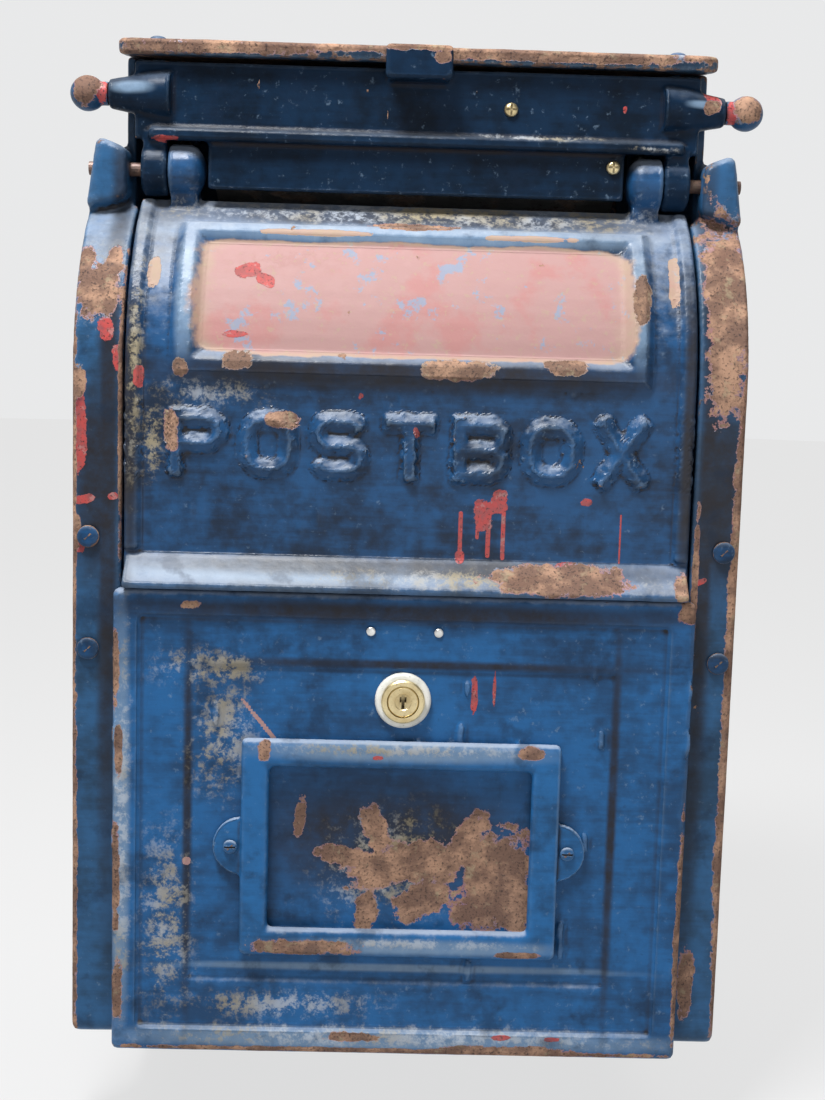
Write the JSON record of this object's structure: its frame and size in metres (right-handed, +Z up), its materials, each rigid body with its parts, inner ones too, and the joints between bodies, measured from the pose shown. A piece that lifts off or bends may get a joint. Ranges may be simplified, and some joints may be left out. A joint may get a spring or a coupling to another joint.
{
  "type": "post box",
  "caption": "Cast-iron wall or post mounted letter box with a pull-down flap, curved front, bottom-hinged locked collection door and a card frame",
  "frame": {"origin": "middle of the mounting-hole pattern, on the rear face of the back plate, between the two rows of holes", "axes": "+X is the viewer's right, the front faces -Y, +Z is up"},
  "size_m": [0.356, 0.214, 0.5376],
  "materials": {
    "blue_painted_iron": "many thick coats of blue enamel, chipped to red, pink primer and rust",
    "worn_iron": "bare brown iron worn by handling",
    "plain_steel": "dull zinc-plated steel",
    "lock_brass": "worn satin brass",
    "pale_ring": "dull cream"
  },
  "bodies": {
    "root": {"back_plate": "blue_painted_iron", "back_screw_left_1": "plain_steel", "back_screw_left_2": "plain_steel", "back_screw_left_3": "plain_steel", "back_screw_right_1": "plain_steel", "back_screw_right_2": "plain_steel", "back_screw_right_3": "plain_steel", "bottom_plate": "blue_painted_iron", "bottom_screw_left_1": "plain_steel", "bottom_screw_left_2": "plain_steel", "bottom_screw_right_1": "plain_steel", "bottom_screw_right_2": "plain_steel", "door_pin_left": "plain_steel", "door_pin_right": "plain_steel", "flap_pin_left": "worn_iron", "flap_pin_right": "worn_iron", "front_panel": "blue_painted_iron", "panel_screw_left_1": "plain_steel", "panel_screw_left_2": "plain_steel", "panel_screw_right_1": "plain_steel", "panel_screw_right_2": "plain_steel", "rim_bolt_left_1": "blue_painted_iron", "rim_bolt_left_2": "blue_painted_iron", "rim_bolt_right_1": "blue_painted_iron", "rim_bolt_right_2": "blue_painted_iron", "roof_plate": "blue_painted_iron", "roof_screw_left_1": "blue_painted_iron", "roof_screw_left_2": "blue_painted_iron", "roof_screw_right_1": "blue_painted_iron", "roof_screw_right_2": "blue_painted_iron", "side_left": "blue_painted_iron", "side_right": "blue_painted_iron"},
    "flap": {"flap": "blue_painted_iron", "pull_knob_left": "worn_iron", "pull_knob_right": "worn_iron", "flap_screw_1": "lock_brass", "flap_screw_2": "lock_brass", "chute_plate": "plain_steel", "counterweight": "blue_painted_iron", "weight_screw_left": "plain_steel", "weight_screw_right": "plain_steel"},
    "door": {"door": "blue_painted_iron", "card_frame": "blue_painted_iron", "card_screw_left": "plain_steel", "card_screw_right": "plain_steel", "rivet_left": "plain_steel", "rivet_right": "plain_steel", "rivet_strip": "plain_steel", "lock_ring": "pale_ring", "lock_body": "lock_brass", "lock_nut": "plain_steel"},
    "lock": {"lock_plug": "lock_brass", "lock_cam": "plain_steel", "cam_screw": "plain_steel"}
  },
  "joints": [
    {"name": "flap_hinge", "type": "hinge", "parent": "root", "child": "flap", "pos_m": [0, -0.1511, 0.15756], "axis": [1, 0, 0], "range_deg": [0, 50]},
    {"name": "door_hinge", "type": "hinge", "parent": "root", "child": "door", "pos_m": [0, -0.192, -0.283], "axis": [1, 0, 0], "range_deg": [0, 95]},
    {"name": "lock_turn", "type": "hinge", "parent": "door", "child": "lock", "pos_m": [0, -0.2, -0.1068], "axis": [0, -1, 0], "range_deg": [0, 90]}
  ]
}
